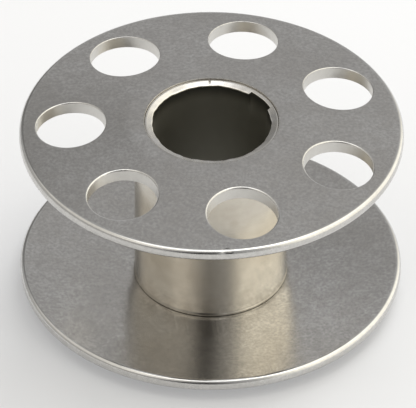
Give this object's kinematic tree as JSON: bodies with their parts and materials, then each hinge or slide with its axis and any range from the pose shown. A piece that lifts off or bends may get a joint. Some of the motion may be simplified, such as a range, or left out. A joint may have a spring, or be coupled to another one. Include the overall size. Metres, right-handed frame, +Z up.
{
  "type": "sewing machine bobbin",
  "caption": "Metal sewing-machine bobbin: two coned round flanges, one pierced, on a hollow hub with a through bore for the winder spindle.",
  "frame": {"origin": "centre of the lower end of the hub, where the spindle axis meets the surface that the bobbin stands on", "axes": "+Z up along the spindle axis, towards the pierced flange; -X runs through the middle of one of its holes"},
  "size_m": [0.0206, 0.0206, 0.0109],
  "materials": {
    "flange_plating": "satin nickel plate on pressed steel, tumbled bright edges",
    "hub_plating": "fine turned nickel plate, dark unpolished bore"
  },
  "bodies": {
    "root": {"lower_flange": "flange_plating", "hub_tube": "hub_plating", "upper_flange": "flange_plating"}
  },
  "joints": []
}
